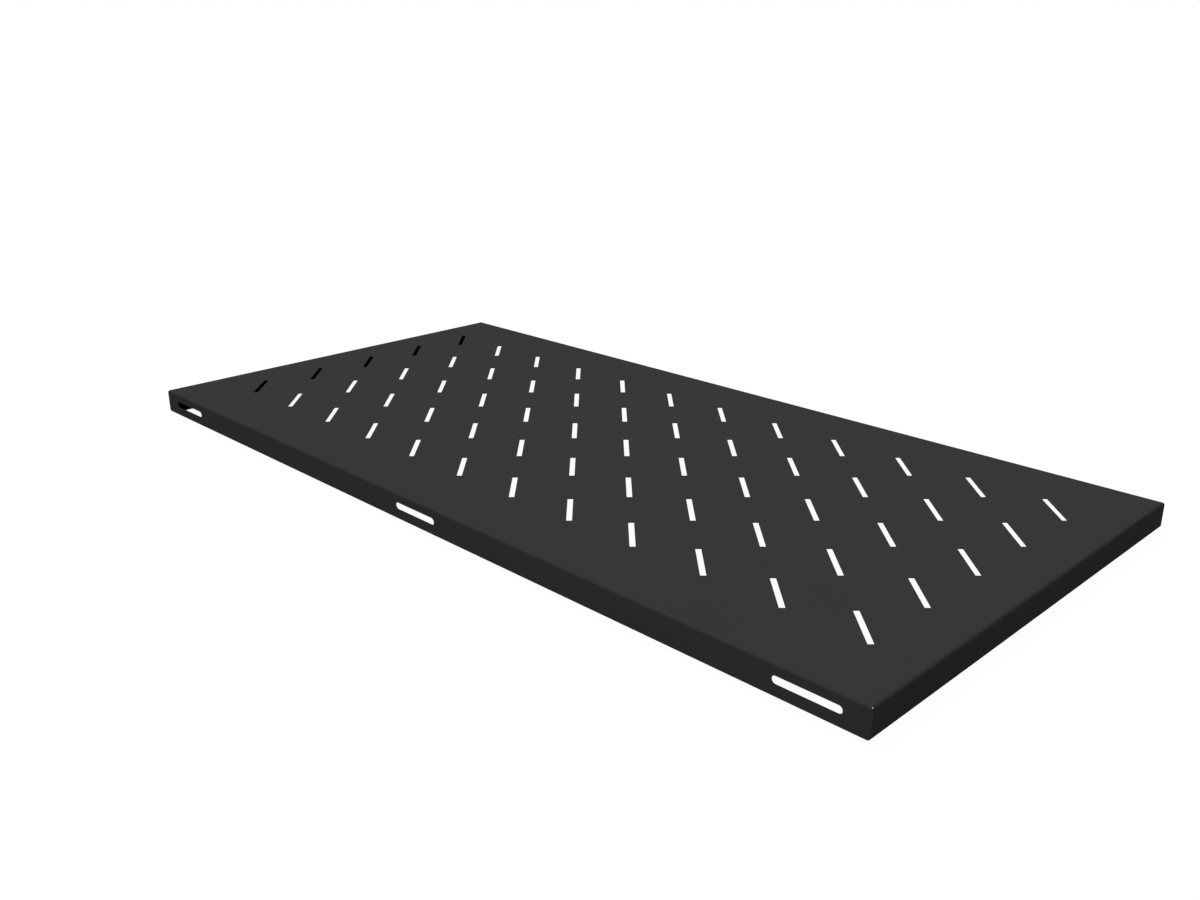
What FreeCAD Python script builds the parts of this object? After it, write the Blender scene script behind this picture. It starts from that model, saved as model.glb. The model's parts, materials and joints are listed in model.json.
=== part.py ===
import FreeCAD, Part
import math
import os

import Sketcher

# Rack shelf: one steel sheet, punched flat and folded down on all four sides.
# X runs across the rack, Y from the front to the back and Z up, in millimetres.
# The origin lies under the middle of the shelf, in the plane of its lower edges.

# Driving sizes: name, value, and what it measures.
SIZES = (
    ("shelf_width", 470, "across, over the outsides of the side flanges"),
    ("shelf_depth", 950, "front to back, over the outsides of the end flanges"),
    ("shelf_height", 25, "from the lower edges to the top of the panel"),
    ("sheet_thickness", 1, "steel sheet"),
    ("inside_bend_radius", 2, "inside of every fold"),
    ("lip_width", 12, "return lip below an end flange, from the outside of the flange"),
    ("corner_gap", 0.1, "between edges that meet at a corner"),
    ("corner_hole", 0.8, "relief hole where the upper bends meet at a corner"),
    ("vent_length", 50, "vent slot, end to end"),
    ("vent_width", 5, "vent slot, side to side"),
    ("vent_angle", 45, "vent slot, turned from the X axis, in degrees"),
    ("vent_pitch", 75, "from one vent slot to the next, both ways"),
    ("vents_across", 5, "vent slots in a row"),
    ("vents_along", 12, "rows of vent slots"),
    ("side_slot_length", 56.5, "fixing slot in a side flange, end to end"),
    ("side_slot_width", 6.5, "fixing slot, clear of an M6 screw"),
    ("side_slot_drop", 12.5, "from the top of the panel to the middle of a fixing slot"),
    ("side_slot_inset", 50, "from the end of the shelf to the middle of its last fixing slot"),
    ("side_slots", 3, "fixing slots in a side flange, evenly spaced"),
)

# How near two measures lie when they are the same place.
TOUCH = 1e-6

# Places that follow from the driving sizes, as expressions on the sheet.
BEND = "(Sizes.inside_bend_radius + Sizes.sheet_thickness)"
SIDE = "(Sizes.shelf_width / 2)"
SIDE_INSIDE = f"({SIDE} - Sizes.sheet_thickness)"
BESIDE = f"({SIDE} + Sizes.corner_gap)"
END = "(Sizes.shelf_depth / 2)"
END_INSIDE = f"({END} - Sizes.sheet_thickness)"
BEYOND = f"({END} + Sizes.corner_gap)"
TOP = "Sizes.shelf_height"
FOLD_LINE = f"({TOP} - {BEND})"
MITRE_ANGLE = "45"

# The relief hole looks down the diagonal of its corner, as far as the middle of the bends.
CORNER_TILT = "acos(1 / sqrt(3))"
CORNER_TILT_AXIS = (-1, 1, 0)
CORNER_DEPTH = f"(sqrt(3) * {BEND})"


def make_sheet(document):
    """The spreadsheet of driving sizes, one row for each."""
    sheet = document.addObject("Spreadsheet::Sheet", "Sizes")
    for row, (name, size, meaning) in enumerate(SIZES, start=1):
        sheet.set(f"A{row}", meaning)
        sheet.set(f"B{row}", str(size))
        sheet.setAlias(f"B{row}", name)
    document.recompute()


def origin_feature(body, role):
    """One of the body's own origin planes or axes."""
    return next(item for item in body.Origin.OriginFeatures if item.Role == role)


def bind(item, **expressions):
    """Tie properties of an object to sizes of the sheet."""
    for name, expression in expressions.items():
        item.setExpression(name, expression)


def dimension(sketch, kind, geometry, expression):
    """Add a sketch dimension that follows the sheet."""
    size = float(sketch.evalExpression(expression))
    index = sketch.addConstraint(Sketcher.Constraint(kind, *geometry, size))
    sketch.setExpression(f"Constraints[{index}]", expression)


def make_sketch(body, name, plane, place=("0", "0", "0"), turn="0", turn_axis=(0, 0, 1)):
    """A sketch on an origin plane, moved by place and turned, in its own plane or about an axis."""
    sketch = body.newObject("Sketcher::SketchObject", name)
    sketch.AttachmentSupport = [(origin_feature(body, plane), "")]
    sketch.MapMode = "FlatFace"
    sketch.AttachmentOffset = FreeCAD.Placement(FreeCAD.Vector(), FreeCAD.Vector(*turn_axis), 0)
    for axis, expression in zip("xyz", place):
        sketch.setExpression(f"AttachmentOffset.Base.{axis}", expression)
    sketch.setExpression("AttachmentOffset.Rotation.Angle", turn)
    return sketch


def draw_rectangle(sketch, left, right, low, high):
    """Four lines, level and upright, with their corners at these places."""
    corners = [
        FreeCAD.Vector(float(sketch.evalExpression(x)), float(sketch.evalExpression(y)))
        for x, y in ((left, low), (right, low), (right, high), (left, high))
    ]
    for index in range(4):
        sketch.addGeometry(Part.LineSegment(corners[index], corners[(index + 1) % 4]))
    for index in range(4):
        sketch.addConstraint(Sketcher.Constraint("Coincident", index, 2, (index + 1) % 4, 1))
        sketch.addConstraint(Sketcher.Constraint("Vertical" if index % 2 else "Horizontal", index))


def placed_rectangle(sketch, left, right, low, high):
    """A rectangle with each side at its own distance from the sketch's origin."""
    draw_rectangle(sketch, left, right, low, high)
    dimension(sketch, "DistanceX", (-1, 1, 0, 1), left)
    dimension(sketch, "DistanceX", (-1, 1, 2, 1), right)
    dimension(sketch, "DistanceY", (-1, 1, 0, 1), low)
    dimension(sketch, "DistanceY", (-1, 1, 2, 1), high)


def centred_rectangle(sketch, length, width):
    """A rectangle with its middle at the sketch's origin."""
    draw_rectangle(sketch, f"-{length} / 2", f"{length} / 2", f"-{width} / 2", f"{width} / 2")
    sketch.addConstraint(Sketcher.Constraint("Symmetric", 0, 1, 2, 1, -1, 1))
    dimension(sketch, "DistanceX", (0, 1, 0, 2), length)
    dimension(sketch, "DistanceY", (1, 1, 1, 2), width)


def round_slot(sketch, middle, level, length, width):
    """A slot with full round ends along the sketch's X axis."""
    reach = f"({length} - {width}) / 2"
    right_end = f"{middle} + {reach}"
    left_end = f"{middle} - {reach}"
    height, radius, right, left = (
        float(sketch.evalExpression(size)) for size in (level, f"{width} / 2", right_end, left_end)
    )
    for x, start in ((right, -math.pi / 2), (left, math.pi / 2)):
        circle = Part.Circle(FreeCAD.Vector(x, height), FreeCAD.Vector(0, 0, 1), radius)
        sketch.addGeometry(Part.ArcOfCircle(circle, start, start + math.pi))
    for y, first, last in ((height + radius, right, left), (height - radius, left, right)):
        sketch.addGeometry(Part.LineSegment(FreeCAD.Vector(first, y), FreeCAD.Vector(last, y)))
    for arc, line in ((0, 2), (1, 3)):
        sketch.addConstraint(Sketcher.Constraint("Tangent", arc, 2, line, 1))
        sketch.addConstraint(Sketcher.Constraint("Tangent", line, 2, 1 - arc, 1))
        sketch.addConstraint(Sketcher.Constraint("Horizontal", line))
    dimension(sketch, "Radius", (0,), f"{width} / 2")
    dimension(sketch, "DistanceX", (-1, 1, 0, 3), right_end)
    dimension(sketch, "DistanceX", (-1, 1, 1, 3), left_end)
    dimension(sketch, "DistanceY", (-1, 1, 0, 3), level)


def round_hole(sketch, diameter):
    """A circle with its middle at the sketch's origin."""
    radius = float(sketch.evalExpression(diameter)) / 2
    sketch.addGeometry(Part.Circle(FreeCAD.Vector(), FreeCAD.Vector(0, 0, 1), radius))
    sketch.addConstraint(Sketcher.Constraint("Coincident", 0, 3, -1, 1))
    dimension(sketch, "Diameter", (0,), diameter)


def lip_profile(sketch):
    """Section of the return lip: the lower fold of an end flange and the flat strip after it."""
    lip_edge = f"{END} - Sizes.lip_width"
    outside, bend, inner, sheet, edge = (
        float(sketch.evalExpression(size))
        for size in (END, BEND, "Sizes.inside_bend_radius", "Sizes.sheet_thickness", lip_edge)
    )
    fold = FreeCAD.Vector(outside - bend, bend)
    for radius in (bend, inner):
        circle = Part.Circle(fold, FreeCAD.Vector(0, 0, 1), radius)
        sketch.addGeometry(Part.ArcOfCircle(circle, 3 * math.pi / 2, 2 * math.pi))
    for first, last in (
        ((outside, bend), (outside - sheet, bend)),
        ((fold.x, sheet), (edge, sheet)),
        ((edge, sheet), (edge, 0)),
        ((edge, 0), (fold.x, 0)),
    ):
        sketch.addGeometry(Part.LineSegment(FreeCAD.Vector(*first), FreeCAD.Vector(*last)))
    outer_arc, inner_arc, flange_end, upper_face, lip_end, lower_face = range(6)
    for constraint in (
        ("Coincident", outer_arc, 3, inner_arc, 3),
        ("Coincident", outer_arc, 2, flange_end, 1),
        ("Coincident", flange_end, 2, inner_arc, 2),
        ("Tangent", inner_arc, 1, upper_face, 1),
        ("Coincident", upper_face, 2, lip_end, 1),
        ("Coincident", lip_end, 2, lower_face, 1),
        ("Tangent", lower_face, 2, outer_arc, 1),
        ("PointOnObject", outer_arc, 3, flange_end),
        ("PointOnObject", lower_face, 1, -1),
        ("Horizontal", flange_end),
        ("Horizontal", upper_face),
        ("Horizontal", lower_face),
        ("Vertical", lip_end),
    ):
        sketch.addConstraint(Sketcher.Constraint(*constraint))
    dimension(sketch, "Radius", (outer_arc,), BEND)
    dimension(sketch, "Radius", (inner_arc,), "Sizes.inside_bend_radius")
    dimension(sketch, "DistanceX", (-1, 1, flange_end, 1), END)
    dimension(sketch, "DistanceX", (-1, 1, lip_end, 1), lip_edge)


def make_pocket(body, sketch, depth=None):
    """Cut a sketch down from its plane, to a depth or right through."""
    pocket = body.newObject("PartDesign::Pocket", sketch.Name + "Cut")
    pocket.Profile = sketch
    if depth:
        bind(pocket, Length=depth)
    else:
        pocket.Type = "ThroughAll"
    return pocket


def fold_pan(body):
    """The sheet folded down on all four sides: a rounded block, hollowed from below."""
    outline = make_sketch(body, "Outline", "XY_Plane")
    centred_rectangle(outline, "Sizes.shelf_width", "Sizes.shelf_depth")
    block = body.newObject("PartDesign::Pad", "Block")
    block.Profile = outline
    bind(block, Length=TOP)
    body.Document.recompute()

    top = block.Shape.BoundBox.ZMax
    folds = [
        f"Edge{number}"
        for number, edge in enumerate(block.Shape.Edges, start=1)
        if math.isclose(edge.BoundBox.ZMin, top)
    ]
    bends = body.newObject("PartDesign::Fillet", "Bends")
    bends.Base = (block, folds)
    bind(bends, Radius=BEND)
    body.Document.recompute()

    heights = [face.BoundBox.ZMax for face in bends.Shape.Faces]
    underside = heights.index(min(heights)) + 1
    pan = body.newObject("PartDesign::Thickness", "Pan")
    pan.Base = (bends, [f"Face{underside}"])
    pan.Join = "Arc"
    pan.Reversed = True
    bind(pan, Value="Sizes.sheet_thickness")


def fold_lips(body):
    """End flanges cut back to their lower fold, and the return lip folded in from there."""
    trim_outline = make_sketch(body, "FlangeTrim", "YZ_Plane")
    placed_rectangle(trim_outline, END_INSIDE, BEYOND, "0", BEND)
    trim = make_pocket(body, trim_outline, f"2 * {SIDE_INSIDE}")
    trim.SideType = "Symmetric"

    section = make_sketch(body, "LipSection", "YZ_Plane")
    lip_profile(section)
    lip = body.newObject("PartDesign::Pad", "Lip")
    lip.Profile = section
    lip.SideType = "Symmetric"
    bind(lip, Length=f"2 * ({SIDE_INSIDE} - Sizes.corner_gap)")

    both_ends = body.newObject("PartDesign::Mirrored", "BothEnds")
    both_ends.Originals = [trim, lip]
    both_ends.MirrorPlane = (origin_feature(body, "XZ_Plane"), [""])
    body.Tip = both_ends


def open_corners(body):
    """The seam at each corner: a side flange laps the end of an end flange, under mitred bends."""
    seam = make_sketch(body, "Seam", "XY_Plane", ("0", "0", FOLD_LINE))
    placed_rectangle(seam, f"{SIDE_INSIDE} - Sizes.corner_gap", SIDE_INSIDE, END_INSIDE, BEYOND)
    shoulder = make_sketch(body, "Shoulder", "XY_Plane", ("0", "0", FOLD_LINE))
    placed_rectangle(shoulder, SIDE_INSIDE, BESIDE, END_INSIDE, BEYOND)
    mitre = make_sketch(body, "Mitre", "XY_Plane", (SIDE, END, TOP), MITRE_ANGLE)
    centred_rectangle(mitre, f"2 * sqrt(2) * {BEND}", "Sizes.corner_gap")
    relief = make_sketch(body, "Relief", "XY_Plane", (SIDE, END, TOP), CORNER_TILT, CORNER_TILT_AXIS)
    round_hole(relief, "Sizes.corner_hole")
    cuts = [
        make_pocket(body, seam),
        make_pocket(body, shoulder, "Sizes.corner_gap"),
        make_pocket(body, mitre, BEND),
        make_pocket(body, relief, CORNER_DEPTH),
    ]

    corners = body.newObject("PartDesign::MultiTransform", "Corners")
    corners.Originals = cuts
    mirrors = []
    for plane in ("YZ_Plane", "XZ_Plane"):
        mirror = body.newObject("PartDesign::Mirrored", "Corners" + plane)
        mirror.MirrorPlane = (origin_feature(body, plane), [""])
        mirrors.append(mirror)
    corners.Transformations = mirrors
    body.Tip = corners


def round_flange_corners(body):
    """The lower corners of the side flanges, rounded to follow the lower bends beside them."""
    body.Document.recompute()
    folded = body.Tip
    box = folded.Shape.BoundBox
    corners = [
        f"Edge{number}"
        for number, edge in enumerate(folded.Shape.Edges, start=1)
        if math.isclose(edge.BoundBox.ZMax, box.ZMin, abs_tol=TOUCH)
        and math.isclose(abs(edge.CenterOfMass.y), box.YMax, abs_tol=TOUCH)
    ]
    rounding = body.newObject("PartDesign::Fillet", "FlangeCorners")
    rounding.Base = (folded, corners)
    bind(rounding, Radius=BEND)


def punch_vents(body):
    """The field of slanted vent slots, centred on the panel."""
    last_across = "(Sizes.vents_across - 1) / 2 * Sizes.vent_pitch"
    last_along = "(Sizes.vents_along - 1) / 2 * Sizes.vent_pitch"
    vent = make_sketch(body, "Vent", "XY_Plane", (last_across, last_along, TOP), "Sizes.vent_angle")
    centred_rectangle(vent, "Sizes.vent_length", "Sizes.vent_width")
    cut = make_pocket(body, vent, "Sizes.sheet_thickness")
    field = body.newObject("PartDesign::LinearPattern", "VentField")
    field.Originals = [cut]
    field.Direction = (origin_feature(body, "X_Axis"), [""])
    field.Direction2 = (origin_feature(body, "Y_Axis"), [""])
    field.Reversed = field.Reversed2 = True
    bind(
        field,
        Length=f"2 * {last_across}",
        Length2=f"2 * {last_along}",
        Occurrences="Sizes.vents_across",
        Occurrences2="Sizes.vents_along",
    )
    body.Tip = field


def punch_side_slots(body):
    """The fixing slots, punched through both side flanges."""
    slot = make_sketch(body, "SideSlot", "YZ_Plane")
    last_slot = f"({END} - Sizes.side_slot_inset)"
    level = f"{TOP} - Sizes.side_slot_drop"
    round_slot(slot, last_slot, level, "Sizes.side_slot_length", "Sizes.side_slot_width")
    cut = make_pocket(body, slot)
    cut.SideType = "Symmetric"
    row = body.newObject("PartDesign::LinearPattern", "SideSlotRow")
    row.Originals = [cut]
    row.Direction = (origin_feature(body, "Y_Axis"), [""])
    row.Reversed = True
    bind(row, Length=f"2 * {last_slot}", Occurrences="Sizes.side_slots")
    body.Tip = row


def check(document, body):
    """Stop before anything is written if a feature failed or a cut missed the sheet."""
    document.recompute()
    for item in document.Objects:
        if {"Invalid", "Error"} & set(item.State):
            raise RuntimeError(f"{item.Name} failed to build")
        if item.TypeId == "PartDesign::Pocket" and item.Shape.Volume >= item.BaseFeature.Shape.Volume:
            raise RuntimeError(f"{item.Name} cuts nothing")
    if body.Shape.isNull() or not body.Shape.isValid() or len(body.Shape.Solids) != 1:
        raise RuntimeError(f"{body.Label} is not one sound solid")


document = FreeCAD.newDocument("RackShelf")
make_sheet(document)
shelf = document.addObject("PartDesign::Body", "Shelf")
shelf.Label = "shelf"
fold_pan(shelf)
fold_lips(shelf)
open_corners(shelf)
round_flange_corners(shelf)
punch_vents(shelf)
punch_side_slots(shelf)
check(document, shelf)

os.makedirs("parts", exist_ok=True)
shelf.Shape.exportStep(f"parts/{shelf.Label}.step")
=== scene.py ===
import json
import math

import bmesh
import bpy
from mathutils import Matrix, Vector


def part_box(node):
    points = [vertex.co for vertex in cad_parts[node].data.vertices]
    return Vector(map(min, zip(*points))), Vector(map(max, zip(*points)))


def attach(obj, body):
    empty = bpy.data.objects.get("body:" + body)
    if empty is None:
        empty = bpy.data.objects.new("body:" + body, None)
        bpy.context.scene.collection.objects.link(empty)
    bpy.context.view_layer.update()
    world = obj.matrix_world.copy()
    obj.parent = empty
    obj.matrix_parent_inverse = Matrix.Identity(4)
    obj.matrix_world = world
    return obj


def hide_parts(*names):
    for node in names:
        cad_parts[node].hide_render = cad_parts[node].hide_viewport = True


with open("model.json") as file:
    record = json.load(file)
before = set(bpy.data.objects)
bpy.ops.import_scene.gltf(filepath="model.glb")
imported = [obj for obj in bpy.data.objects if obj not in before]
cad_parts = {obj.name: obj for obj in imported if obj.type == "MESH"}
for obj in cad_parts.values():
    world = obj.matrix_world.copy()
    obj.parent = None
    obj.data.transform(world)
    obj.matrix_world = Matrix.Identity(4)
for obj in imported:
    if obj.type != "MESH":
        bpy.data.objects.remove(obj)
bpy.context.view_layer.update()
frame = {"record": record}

MM = 0.001
QUARTER_TURN = math.pi / 2

# The sheet, as it was cut and folded.
SHEET = 1 * MM
INNER_BEND = 2 * MM
OUTER_BEND = INNER_BEND + SHEET
LIP_WIDTH = 12 * MM
BEND_STEPS = 16

# The corners, where two folds meet in a mitre with a relief hole.
CORNER_GAP = 0.1 * MM
CORNER_HOLE = 0.8 * MM
HOLE_STEPS = 5

# The cut edges, rounded by the coat. Points closer together than the weld become one.
EDGE_ROUNDING = 0.15 * MM
ROUNDING_STEPS = 2
SHARP_TURN = math.radians(35)
WELD = 0.002 * MM

# The vent slots in the panel.
VENT_LENGTH = 50 * MM
VENT_WIDTH = 5 * MM
VENT_CORNER = 0.15 * MM
VENT_CORNER_STEPS = 3
VENT_TURN = math.radians(45)
VENT_PITCH = 75 * MM
VENTS_ACROSS = 5
VENTS_ALONG = 12

# The fixing slots in a side flange. Their sizes come from the frame.
SIDE_SLOTS = 3

# The coat: matt black powder. Its patches of shade and its grains are counted along a metre.
COAT_SHADE = 0.0373
SHADE_SWING = 0.04
SHADE_PATCHES = 14
# Painted shade: the base colour darkens by this share in the grain's pits and lightens by it on the
# grain's peaks.
PAINTED_PIT_SHADE = 0.25
GRAIN_COUNT = 1800
GRAIN_HEIGHT = 0.16 * MM
GLOSS = 0.005
SMOOTHEST = 0.85
ROUGHEST = 0.95

# The photograph's camera.
CAMERA_AZIMUTH = math.radians(-45)
CAMERA_ELEVATION = math.radians(20)
CAMERA_DISTANCE = 1.2
CAMERA_LENS = 35
CAMERA_SENSOR = 36

# The light. A lamp's direction runs from the shelf to the lamp.
WHITE = 1.0
SKY_LIGHT = 0.2
LAMP_SPREAD = math.radians(20)
FRONT_LAMP_FROM = Vector((-0.85, -0.4, 0.36))
FRONT_LAMP_STRENGTH = 1.55
BACK_LAMP_FROM = Vector((0.235, 0.435, 0.869))
BACK_LAMP_STRENGTH = 2.34

# The floor.
FLOOR_SPAN = 30
FLOOR_SHADE = 0.1
FLOOR_GLOW = 0.97
SHADOW_SHADE = 0.033

# Where the flanges stand, where the flat panel ends, and the levels of the folds.
low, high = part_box("shelf")
SIDE = high.x
END = high.y
TOP = high.z
PANEL_SIDE = SIDE - OUTER_BEND
PANEL_END = END - OUTER_BEND
FOLD_LINE = TOP - OUTER_BEND

# A side flange widens at its shoulder, under the ledge of the end's bend, and laps the end flange.
LEDGE = FOLD_LINE - CORNER_GAP / 4
BEND_FOOT = FOLD_LINE - CORNER_GAP / 2
SHOULDER = FOLD_LINE - CORNER_GAP
BETWEEN_SIDES = SIDE - SHEET - CORNER_GAP

# The inputs of a punched plate's node tree.
PLATE_INPUTS = {
    "Plate Width": "NodeSocketFloat",
    "Plate Length": "NodeSocketFloat",
    "Thickness": "NodeSocketFloat",
    "Slot Length": "NodeSocketFloat",
    "Slot Width": "NodeSocketFloat",
    "Slot Corner": "NodeSocketFloat",
    "Corner Steps": "NodeSocketInt",
    "Slot Turn": "NodeSocketFloat",
    "Slot Shift": "NodeSocketFloat",
    "Pitch": "NodeSocketFloat",
    "Slots Across": "NodeSocketInt",
    "Slots Along": "NodeSocketInt",
    "Place": "NodeSocketVector",
    "Tilt": "NodeSocketFloat",
    "Weld": "NodeSocketFloat",
    "Finish": "NodeSocketMaterial",
}


def put_in_scene(name, data):
    """A new object at the origin."""
    thing = bpy.data.objects.new(name, data)
    bpy.context.scene.collection.objects.link(thing)
    return thing


def feed(tree, node, inputs):
    """Joins or fills in a node's inputs; a node given as a source stands for its first output."""
    for name, source in inputs.items():
        if isinstance(source, bpy.types.Node):
            source = source.outputs[0]
        if isinstance(source, bpy.types.NodeSocket):
            tree.links.new(source, node.inputs[name])
        else:
            node.inputs[name].default_value = source


def add(tree, kind, inputs=None, **settings):
    """A new node with these settings, fed with these inputs."""
    node = tree.nodes.new(kind)
    for name, value in settings.items():
        setattr(node, name, value)
    feed(tree, node, inputs or {})
    return node


def maths(tree, operation, first, second):
    """One calculation with two numbers."""
    return add(tree, "ShaderNodeMath", {0: first, 1: second}, operation=operation)


def between(tree, share, least, most):
    """A number from least, where the share is 0, to most, where it is 1."""
    return add(tree, "ShaderNodeMapRange", {"Value": share, "To Min": least, "To Max": most})


def join(tree, *parts):
    """Several geometries as one."""
    joined = add(tree, "GeometryNodeJoinGeometry")
    for part in parts:
        tree.links.new(part.outputs[0], joined.inputs[0])
    return joined


def slot_places(tree, sizes):
    """Points of the slot grid, one pitch apart both ways, shifted from the middle of the plate."""
    spans = []
    for count in ("Slots Across", "Slots Along"):
        gaps = maths(tree, "SUBTRACT", sizes[count], 1.0)
        spans.append(maths(tree, "MULTIPLY", gaps, sizes["Pitch"]))
    grid = add(
        tree,
        "GeometryNodeMeshGrid",
        {
            "Size X": spans[0],
            "Size Y": spans[1],
            "Vertices X": sizes["Slots Across"],
            "Vertices Y": sizes["Slots Along"],
        },
    )
    shift = add(tree, "ShaderNodeCombineXYZ", {"X": sizes["Slot Shift"]})
    return add(tree, "GeometryNodeTransform", {"Geometry": grid, "Translation": shift})


def slot_rims(tree, sizes):
    """The outlines of all the slots, in the plate's upper face."""
    square = add(
        tree,
        "GeometryNodeCurvePrimitiveQuadrilateral",
        {"Width": sizes["Slot Length"], "Height": sizes["Slot Width"]},
    )
    rounded = add(
        tree,
        "GeometryNodeFilletCurve",
        {"Curve": square, "Radius": sizes["Slot Corner"], "Count": sizes["Corner Steps"]},
        mode="POLY",
    )
    turn = add(tree, "ShaderNodeCombineXYZ", {"Z": sizes["Slot Turn"]})
    copies = add(
        tree,
        "GeometryNodeInstanceOnPoints",
        {"Points": slot_places(tree, sizes), "Instance": rounded, "Rotation": turn},
    )
    return add(tree, "GeometryNodeRealizeInstances", {"Geometry": copies})


def plate_faces(tree, sizes):
    """Both faces of the plate and the walls of its slots, welded together."""
    blank = add(
        tree,
        "GeometryNodeCurvePrimitiveQuadrilateral",
        {"Width": sizes["Plate Width"], "Height": sizes["Plate Length"]},
    )
    rims = slot_rims(tree, sizes)
    upper = add(tree, "GeometryNodeFillCurve", {"Curve": join(tree, blank, rims)}, mode="NGONS")
    depth = maths(tree, "SUBTRACT", 0.0, sizes["Thickness"])
    down = add(tree, "ShaderNodeCombineXYZ", {"Z": depth})
    sunk = add(tree, "GeometryNodeTransform", {"Geometry": upper, "Translation": down})
    lower = add(tree, "GeometryNodeFlipFaces", {"Mesh": sunk})
    rim_edges = add(tree, "GeometryNodeCurveToMesh", {"Curve": rims})
    walls = add(tree, "GeometryNodeExtrudeMesh", {"Mesh": rim_edges, "Offset": down}, mode="EDGES")
    return add(
        tree,
        "GeometryNodeMergeByDistance",
        {"Geometry": join(tree, upper, lower, walls), "Distance": sizes["Weld"]},
    )


def punched_plate_tree():
    """Node tree of a flat plate with a grid of slots, open round its outer edge."""
    tree = bpy.data.node_groups.new("punched_plate", "GeometryNodeTree")
    for name, kind in PLATE_INPUTS.items():
        tree.interface.new_socket(name, in_out="INPUT", socket_type=kind)
    tree.interface.new_socket("Plate", in_out="OUTPUT", socket_type="NodeSocketGeometry")
    sizes = tree.nodes.new("NodeGroupInput").outputs

    tilt = add(tree, "ShaderNodeCombineXYZ", {"Y": sizes["Tilt"]})
    placed = add(
        tree,
        "GeometryNodeTransform",
        {"Geometry": plate_faces(tree, sizes), "Translation": sizes["Place"], "Rotation": tilt},
    )
    real = add(tree, "GeometryNodeRealizeInstances", {"Geometry": placed})
    coated = add(tree, "GeometryNodeSetMaterial", {"Geometry": real, "Material": sizes["Finish"]})
    add(tree, "NodeGroupOutput", {"Plate": coated})
    return tree


def punch(tree, sizes):
    """The plain mesh of one plate from the tree, with these sizes."""
    carrier = put_in_scene("plate", bpy.data.meshes.new("plate"))
    modifier = carrier.modifiers.new("punch", "NODES")
    modifier.node_group = tree
    for item in tree.interface.items_tree:
        if item.in_out == "INPUT":
            modifier[item.identifier] = sizes[item.name]
    evaluated = carrier.evaluated_get(bpy.context.evaluated_depsgraph_get())
    plate = bpy.data.meshes.new_from_object(evaluated)
    bpy.data.objects.remove(carrier)
    return plate


def panel_sizes(finish):
    """The vented panel, flat on top of the shelf."""
    return {
        "Plate Width": 2 * PANEL_SIDE,
        "Plate Length": 2 * PANEL_END,
        "Thickness": SHEET,
        "Slot Length": VENT_LENGTH,
        "Slot Width": VENT_WIDTH,
        "Slot Corner": VENT_CORNER,
        "Corner Steps": VENT_CORNER_STEPS,
        "Slot Turn": VENT_TURN,
        "Slot Shift": 0.0,
        "Pitch": VENT_PITCH,
        "Slots Across": VENTS_ACROSS,
        "Slots Along": VENTS_ALONG,
        "Place": (0.0, 0.0, TOP),
        "Tilt": 0.0,
        "Weld": WELD,
        "Finish": finish,
    }


def fixing_slots():
    """Level, length, width and spacing of a side flange's slots, as the frame gives them."""
    mount = next(item for item in frame["record"]["mounts"] if item["name"] == "left_front_slots")
    dims = mount["dims"]
    return {
        "level": mount["pos_m"][2],
        "length": dims["slot_length_mm"] * MM,
        "width": 2 * dims["hole_r_mm"] * MM,
        "spacing": dims["spacing_x_mm"] * MM,
    }


def side_flange_sizes(finish, side):
    """A side flange with its row of fixing slots, on the left where side is -1, on the right at 1.

    The slots' ends are round: their corners stop just short of meeting.
    """
    slots = fixing_slots()
    middle = (OUTER_BEND + SHOULDER) / 2
    return {
        "Plate Width": SHOULDER - OUTER_BEND,
        "Plate Length": 2 * END,
        "Thickness": SHEET,
        "Slot Length": slots["width"],
        "Slot Width": slots["length"],
        "Slot Corner": slots["width"] / 2 - WELD,
        "Corner Steps": BEND_STEPS,
        "Slot Turn": 0.0,
        "Slot Shift": side * (middle - slots["level"]),
        "Pitch": slots["spacing"],
        "Slots Across": 1,
        "Slots Along": SIDE_SLOTS,
        "Place": (side * SIDE, 0.0, middle),
        "Tilt": side * QUARTER_TURN,
        "Weld": WELD,
        "Finish": finish,
    }


def even_angles():
    """Angles of a quarter turn in even steps."""
    return [QUARTER_TURN * step / BEND_STEPS for step in range(BEND_STEPS + 1)]


def upper_bend_angles():
    """Angles round an upper bend, closer together beside the relief hole in its corner."""
    middle = QUARTER_TURN / 2
    reach = math.asin(CORNER_HOLE / 2 / INNER_BEND)
    plain = [angle for angle in even_angles() if abs(angle - middle) > reach]
    close = [middle + reach * step / HOLE_STEPS for step in range(-HOLE_STEPS, HOLE_STEPS + 1)]
    return sorted(plain + close)


def corner_reach(radius, angle):
    """How far a bend runs past the panel's corner, short of the mitre and the relief hole.

    The hole is a round bore down the diagonal of the corner, through the middle of both bends.
    Its room is what is left of its width at this distance off the diagonal.
    """
    out = radius * math.sin(angle)
    off_diagonal = out - radius * math.cos(angle)
    cut = min(CORNER_GAP / math.sqrt(2), out)
    room = 2 * (CORNER_HOLE / 2) ** 2 - off_diagonal**2
    if room > 0:
        cut = max(cut, (off_diagonal + math.sqrt(3 * room)) / 2)
    return out - cut


def upper_bend_rows(flat, corner):
    """Rows round an upper fold: for each skin, distance out, height and half length."""
    rows = []
    for angle in upper_bend_angles():
        row = []
        for radius in (OUTER_BEND, INNER_BEND):
            out = flat + radius * math.sin(angle)
            height = FOLD_LINE + radius * math.cos(angle)
            row.append((out, height, corner + corner_reach(radius, angle)))
        rows.append(row)
    return rows


def upright_row(outside, height, half_length):
    """One row of an upright flange."""
    return [(outside, height, half_length), (outside - SHEET, height, half_length)]


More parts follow.
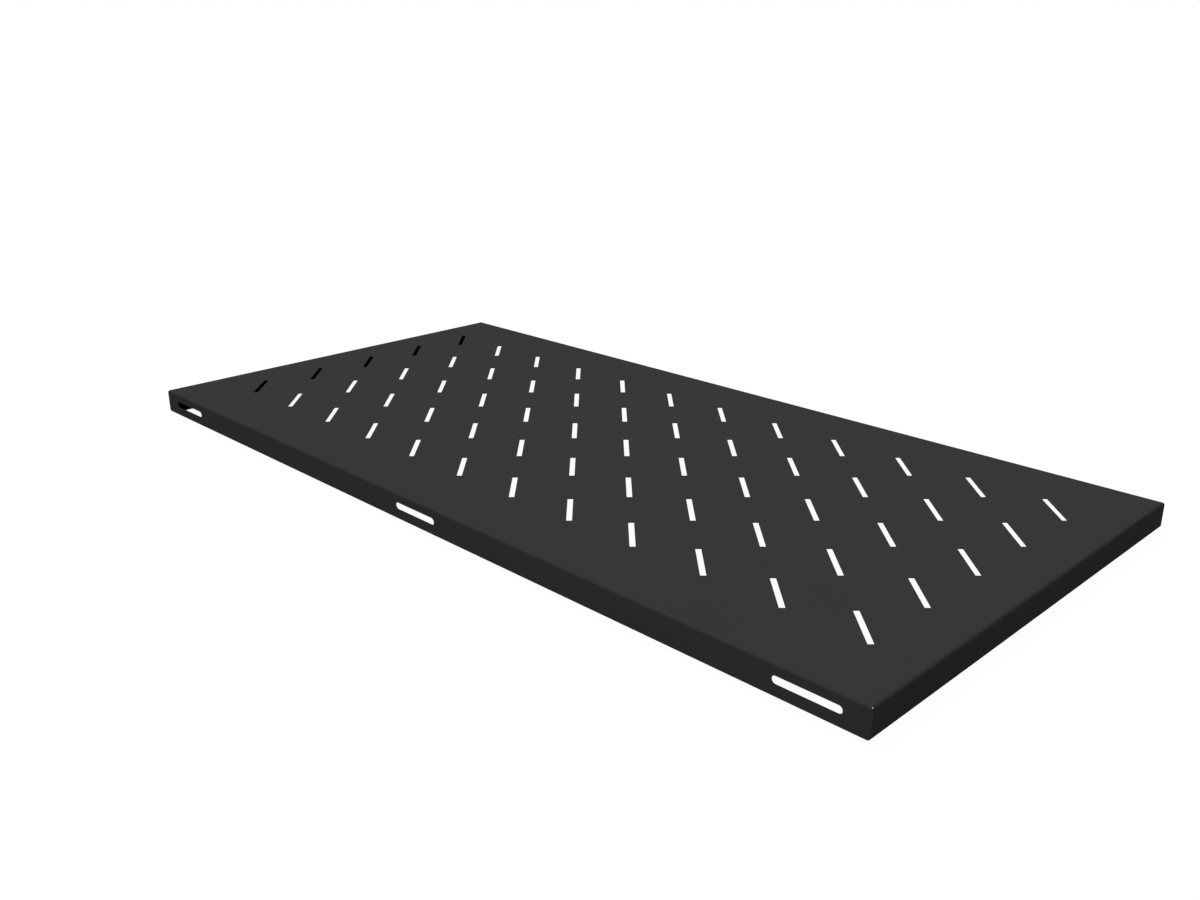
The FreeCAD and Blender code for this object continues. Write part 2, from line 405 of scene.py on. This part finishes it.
def side_fold_rows():
    """A side's upper bend and its flange, which laps the end flanges and has round lower corners."""
    rows = upper_bend_rows(PANEL_SIDE, PANEL_END)
    rows.append([(out, BEND_FOOT, half_length) for out, _, half_length in rows[-1]])
    rows.append(upright_row(SIDE, SHOULDER, END))
    for angle in even_angles():
        height = OUTER_BEND * (1 - math.sin(angle))
        rows.append(upright_row(SIDE, height, PANEL_END + OUTER_BEND * math.cos(angle)))
    return rows


def end_fold_rows():
    """An end's upper bend, and its flange, lower bend and return lip between the side flanges."""
    rows = upper_bend_rows(PANEL_END, PANEL_SIDE)
    rows.append(upright_row(END, LEDGE, BETWEEN_SIDES))
    for angle in even_angles():
        row = []
        for radius in (OUTER_BEND, INNER_BEND):
            out = PANEL_END + radius * math.cos(angle)
            row.append((out, OUTER_BEND - radius * math.sin(angle), BETWEEN_SIDES))
        rows.append(row)
    lip_edge = END - LIP_WIDTH
    rows.append([(lip_edge, 0.0, BETWEEN_SIDES), (lip_edge, SHEET, BETWEEN_SIDES)])
    return rows


def on_side(way, out, along, up):
    """A point of a side's fold, on the left where way is -1, on the right at 1."""
    return (way * out, along, up)


def on_end(way, out, along, up):
    """A point of an end's fold, at the front where way is -1, at the back at 1."""
    return (along, way * out, up)


def fold_strip(sheet, rows, place, way, punched_row=None):
    """Both skins, the two ends and the free edge of a folded strip; a punched plate fills one row."""
    rings = []
    for outer, inner in rows:
        ring = []
        for (out, height, half_length), end in ((outer, -1), (outer, 1), (inner, 1), (inner, -1)):
            ring.append(sheet.verts.new(place(way, out, end * half_length, height)))
        rings.append(ring)
    for number, (first, second) in enumerate(zip(rings, rings[1:])):
        for corner, following in enumerate((1, 2, 3, 0)):
            is_skin = corner in (0, 2)
            if is_skin and number == punched_row:
                continue
            sheet.faces.new((first[corner], first[following], second[following], second[corner]))
    sheet.faces.new(rings[-1])


def weld_shut(sheet):
    """Joins plates and strips into one closed skin that faces outwards."""
    bmesh.ops.remove_doubles(sheet, verts=sheet.verts, dist=WELD)
    bmesh.ops.recalc_face_normals(sheet, faces=sheet.faces)
    open_edges = [edge for edge in sheet.edges if len(edge.link_faces) != 2]
    if open_edges:
        raise RuntimeError(f"the sheet has {len(open_edges)} open edges")


def in_mitre(point):
    """Whether a point is where the upper bends meet at a corner."""
    beside = abs(point.x) > PANEL_SIDE - WELD and abs(point.y) > PANEL_END - WELD
    return beside and point.z > SHOULDER - WELD


def mark_rounded_edges(sheet):
    """Cut edges are softened by the coat, apart from the tight mitres at the corners."""
    rounding = sheet.edges.layers.float.new("bevel_weight_edge")
    for edge in sheet.edges:
        if edge.calc_face_angle() < SHARP_TURN:
            continue
        if all(in_mitre(vert.co) for vert in edge.verts):
            edge.smooth = False
        else:
            edge[rounding] = 1.0
    for face in sheet.faces:
        face.smooth = True


def fold_sheet(finish):
    """The whole folded sheet as one closed mesh."""
    tree = punched_plate_tree()
    sheet = bmesh.new()
    for sizes in (panel_sizes(finish), side_flange_sizes(finish, -1), side_flange_sizes(finish, 1)):
        plate = punch(tree, sizes)
        sheet.from_mesh(plate)
        bpy.data.meshes.remove(plate)

    side_rows = side_fold_rows()
    end_rows = end_fold_rows()
    punched_row = side_rows.index(upright_row(SIDE, SHOULDER, END))
    for way in (-1, 1):
        fold_strip(sheet, side_rows, on_side, way, punched_row)
        fold_strip(sheet, end_rows, on_end, way)
    weld_shut(sheet)
    mark_rounded_edges(sheet)

    mesh = bpy.data.meshes.new("shelf_sheet")
    sheet.to_mesh(mesh)
    sheet.free()
    # Clearing also sets the punched plates' faces back to the first slot.
    mesh.materials.clear()
    mesh.materials.append(finish)
    return mesh


def powder_coat():
    """Matt black powder coat: a fine grain, with painted shade in its pits and painted light on its
    peaks, and a faint random unevenness of tone.
    """
    material = bpy.data.materials.new("black_powder_coat")
    material.use_nodes = True
    tree = material.node_tree
    place = add(tree, "ShaderNodeTexCoord").outputs["Object"]

    patches = add(tree, "ShaderNodeTexNoise", {"Vector": place, "Scale": SHADE_PATCHES}).outputs["Fac"]
    grain = add(tree, "ShaderNodeTexNoise", {"Vector": place, "Scale": GRAIN_COUNT}).outputs["Fac"]
    shade = between(tree, patches, COAT_SHADE * (1 - SHADE_SWING), COAT_SHADE * (1 + SHADE_SWING))
    # Painted shade in the grain's pits and painted light on its peaks, multiplied into the base
    # colour.
    painted_pit_shade = between(tree, grain, 1 - PAINTED_PIT_SHADE, 1 + PAINTED_PIT_SHADE)
    feed(
        tree,
        tree.nodes["Principled BSDF"],
        {
            "Base Color": maths(tree, "MULTIPLY", shade, painted_pit_shade),
            "Roughness": between(tree, grain, SMOOTHEST, ROUGHEST),
            "Specular IOR Level": GLOSS,
            "Normal": add(tree, "ShaderNodeBump", {"Height": grain, "Distance": GRAIN_HEIGHT}),
        },
    )
    return material


def make_shelf():
    """The folded sheet in its coat, standing for the CAD shelf."""
    shelf = put_in_scene("shelf_sheet", fold_sheet(powder_coat()))
    rounding = shelf.modifiers.new("rounded_edges", "BEVEL")
    rounding.limit_method = "WEIGHT"
    rounding.width = EDGE_ROUNDING
    rounding.segments = ROUNDING_STEPS
    rounding.use_clamp_overlap = False
    rounding.loop_slide = False
    shading = shelf.modifiers.new("flat_faces_stay_flat", "WEIGHTED_NORMAL")
    shading.keep_sharp = True
    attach(shelf, "root")
    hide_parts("shelf")


def grey(shade):
    """A plain grey of this shade."""
    return (shade, shade, shade, 1)


def seen_directly(tree):
    """1 on rays from the camera, a reflection or glass, and 0 on the light that falls on things."""
    path = add(tree, "ShaderNodeLightPath").outputs
    either = maths(tree, "MAXIMUM", path["Is Camera Ray"], path["Is Glossy Ray"])
    return maths(tree, "MAXIMUM", either, path["Is Transmission Ray"])


def make_sky():
    """Even white all round, dimmer where it lights the shelf."""
    sky = bpy.data.worlds.new("white_studio")
    bpy.context.scene.world = sky
    sky.use_nodes = True
    tree = sky.node_tree
    strength = between(tree, seen_directly(tree), SKY_LIGHT, WHITE)
    feed(tree, tree.nodes["Background"], {"Color": grey(WHITE), "Strength": strength})


def pale_floor():
    """A finish that looks white, keeps a soft shadow and throws little light on the shelf."""
    material = bpy.data.materials.new("pale_floor")
    material.use_nodes = True
    tree = material.node_tree
    tree.nodes.clear()
    lit = add(tree, "ShaderNodeBsdfDiffuse", {"Color": grey(FLOOR_SHADE)})
    glow = add(tree, "ShaderNodeEmission", {"Strength": FLOOR_GLOW})
    shadow_keeper = add(tree, "ShaderNodeBsdfDiffuse", {"Color": grey(SHADOW_SHADE)})
    seen = add(tree, "ShaderNodeAddShader", {0: glow, 1: shadow_keeper})
    choice = add(tree, "ShaderNodeMixShader", {0: seen_directly(tree), 1: lit, 2: seen})
    add(tree, "ShaderNodeOutputMaterial", {"Surface": choice})
    return material


def make_floor():
    """A wide floor under the shelf."""
    half = FLOOR_SPAN / 2
    corners = [(-half, -half, 0), (half, -half, 0), (half, half, 0), (-half, half, 0)]
    mesh = bpy.data.meshes.new("floor")
    mesh.from_pydata(corners, [], [(0, 1, 2, 3)])
    mesh.materials.append(pale_floor())
    floor = put_in_scene("floor", mesh)


def make_lamp(name, towards, strength):
    """A far soft lamp, seen from the shelf in this direction."""
    light = bpy.data.lights.new(name, "SUN")
    light.energy = strength
    light.angle = LAMP_SPREAD
    lamp = put_in_scene(name, light)
    lamp.rotation_euler = towards.to_track_quat("Z", "Y").to_euler()


def make_camera():
    """The camera of the photograph, aimed at the middle of the shelf."""
    middle = (low + high) / 2
    level = math.cos(CAMERA_ELEVATION)
    back = Vector(
        (
            math.sin(CAMERA_AZIMUTH) * level,
            -math.cos(CAMERA_AZIMUTH) * level,
            math.sin(CAMERA_ELEVATION),
        )
    )
    data = bpy.data.cameras.new("camera")
    data.lens = CAMERA_LENS
    data.sensor_width = CAMERA_SENSOR
    camera = put_in_scene("camera", data)
    camera.location = middle + CAMERA_DISTANCE * back
    camera.rotation_euler = back.to_track_quat("Z", "Y").to_euler()
    bpy.context.scene.camera = camera


make_shelf()
make_sky()
make_floor()
make_lamp("front_lamp", FRONT_LAMP_FROM, FRONT_LAMP_STRENGTH)
make_lamp("back_lamp", BACK_LAMP_FROM, BACK_LAMP_STRENGTH)
make_camera()
bpy.context.scene.view_settings.view_transform = "Standard"
